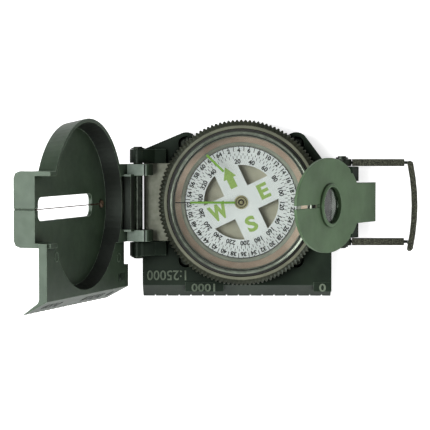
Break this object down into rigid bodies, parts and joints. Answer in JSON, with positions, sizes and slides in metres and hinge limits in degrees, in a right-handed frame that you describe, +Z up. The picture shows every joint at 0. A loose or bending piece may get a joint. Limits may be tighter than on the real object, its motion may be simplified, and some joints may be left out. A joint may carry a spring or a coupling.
{
  "type": "sighting compass",
  "caption": "Folding field compass with a sighting cover, a turning bezel over a floating card, a folding magnifier and a wire thumb loop.",
  "frame": {"origin": "on the axis of the card and bezel, in the plane of the underside", "axes": "+Z up along the card axis, +X from the cover hinge towards the thumb loop, +Y away from the straightedge"},
  "size_m": [0.1272, 0.0596, 0.0701],
  "materials": {
    "dark_paint": "satin dark green paint with worn edges",
    "cover_paint": "satin olive green paint",
    "bracket_paint": "pale green paint",
    "bezel_paint": "matt olive brown paint",
    "retainer_metal": "thin green film over bright metal",
    "copper": "satin copper",
    "brass": "turned",
    "steel": "plain",
    "black_steel": "blackened steel",
    "sleeve": "rough dark olive coating",
    "card": "printed card",
    "bowl": "plain",
    "glow": "luminous green paint",
    "ink": "black line",
    "clear": "clear"
  },
  "bodies": {
    "base": {"base_housing": "dark_paint", "bottom_cover": "dark_paint", "case_screw_ne": "black_steel", "case_screw_nw": "black_steel", "case_screw_sw": "black_steel", "case_screw_se": "black_steel", "cover_hinge_pin": "black_steel", "pivot_pin": "steel", "pivot_screw_north": "black_steel", "pivot_screw_south": "black_steel", "chamber_bowl": "bowl", "chamber_ring": "copper", "chamber_crystal": "clear", "chamber_gasket": "sleeve", "fixed_index_glow": "glow", "fixed_index_line": "ink", "pivot_post": "steel", "detent_spring": "steel"},
    "cover": {"cover_shell": "cover_paint", "sighting_wire": "copper", "sighting_wire_screw": "brass"},
    "bezel": {"bezel_ring": "bezel_paint", "crystal_retainer": "retainer_metal", "bezel_crystal": "clear", "bezel_index_glow": "glow"},
    "card": {"compass_card": "card", "card_hub": "brass", "jewel_bearing": "copper", "magnet_bar_east": "steel", "magnet_bar_west": "steel"},
    "bracket": {"magnifier_bracket": "bracket_paint", "lens_collar": "bracket_paint", "magnifier_lens": "clear"},
    "thumb_loop": {"thumb_loop_wire": "black_steel", "arm_sleeve_north": "sleeve", "arm_sleeve_south": "sleeve", "bar_sleeve": "sleeve"},
    "detent": {"detent_plunger": "steel"}
  },
  "joints": [
    {"name": "cover_hinge", "type": "hinge", "parent": "base", "child": "cover", "pos_m": [-0.0342, 0, 0.01077], "axis": [0, -1, 0], "range_deg": [-109.5, 70.5]},
    {"name": "magnifier_hinge", "type": "hinge", "parent": "base", "child": "bracket", "pos_m": [0.03354, 0, 0.00704], "axis": [0, 1, 0], "range_deg": [-60, 38.64]},
    {"name": "thumb_loop_hinge", "type": "hinge", "parent": "base", "child": "thumb_loop", "pos_m": [0.03354, 0, 0.00704], "axis": [0, 1, 0], "range_deg": [-72, 95]},
    {"name": "bezel_turn", "type": "hinge", "parent": "base", "child": "bezel", "pos_m": [0, 0, 0.00994], "axis": [0, 0, 1], "continuous": true},
    {"name": "card_spin", "type": "hinge", "parent": "base", "child": "card", "pos_m": [0, 0, 0.00812], "axis": [0, 0, 1], "continuous": true},
    {"name": "bezel_detent", "type": "slide", "parent": "base", "child": "detent", "axis": [0, 0, 1], "range_m": [-0.0002484, 0], "deforming": ["detent_spring"]}
  ],
  "couplings": [
    {"joint": "magnifier_hinge", "follows": "cover_hinge", "ratio": 0.54795}
  ]
}
